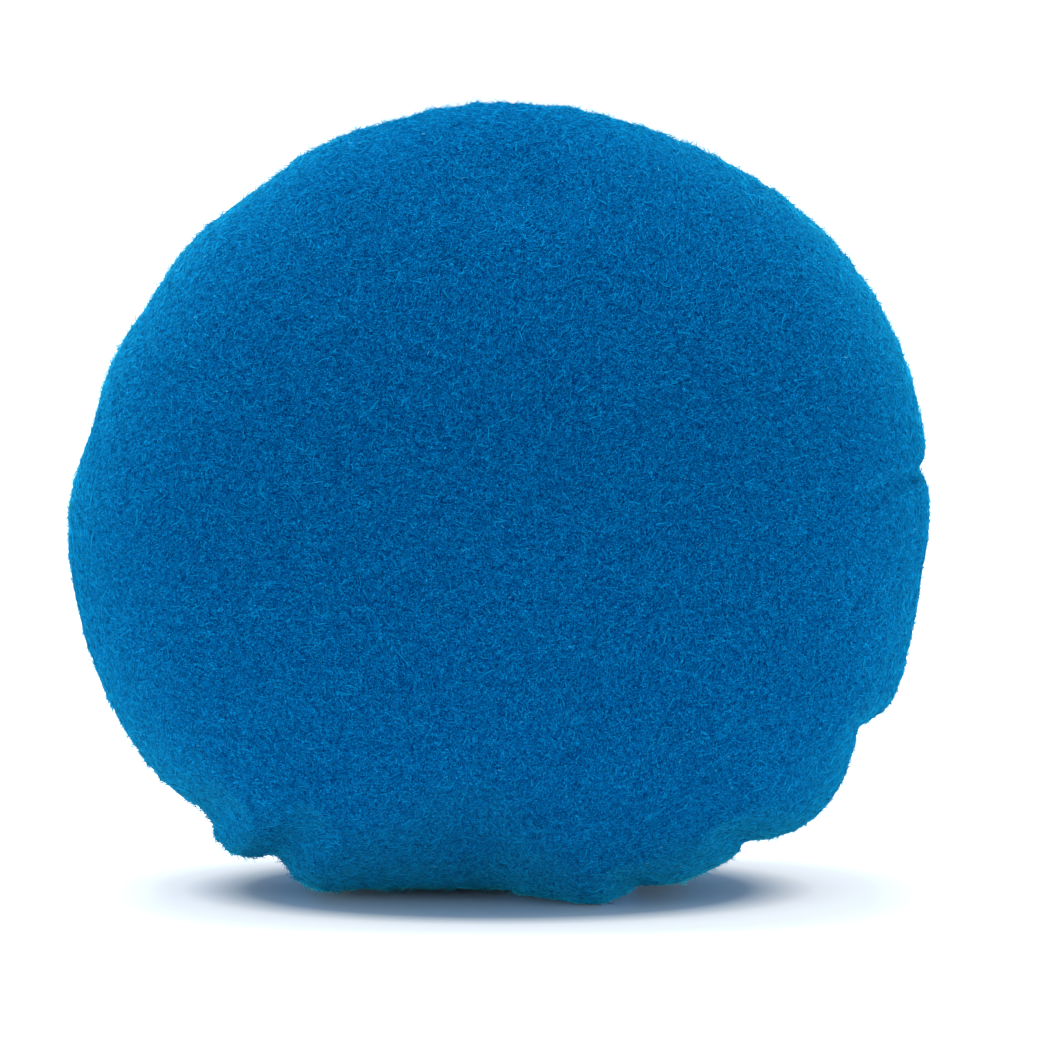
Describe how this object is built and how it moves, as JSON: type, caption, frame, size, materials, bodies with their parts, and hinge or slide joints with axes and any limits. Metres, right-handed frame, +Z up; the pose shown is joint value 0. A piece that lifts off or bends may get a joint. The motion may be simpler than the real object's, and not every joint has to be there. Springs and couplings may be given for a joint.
{
  "type": "juggling ball",
  "caption": "Flat, round juggling bean bag of napped blue suede cloth, sewn edge to edge from round panels and filled with fine loose grain.",
  "frame": {"origin": "on the surface that the bag stands on, under the middle of its bounding box", "axes": "+Z up, +X to the right as the front is seen, +Y from the front panel to the back panel, through the seam's plane at y = 0"},
  "size_m": [0.0856, 0.044, 0.079],
  "materials": {
    "suede": "matte",
    "thread": "satin",
    "grain": "matte"
  },
  "bodies": {
    "root": {"front_panel": "suede", "back_panel": "suede", "needle_thread": "thread", "bobbin_thread": "thread", "closing_thread": "thread", "filling": "grain"}
  },
  "joints": []
}
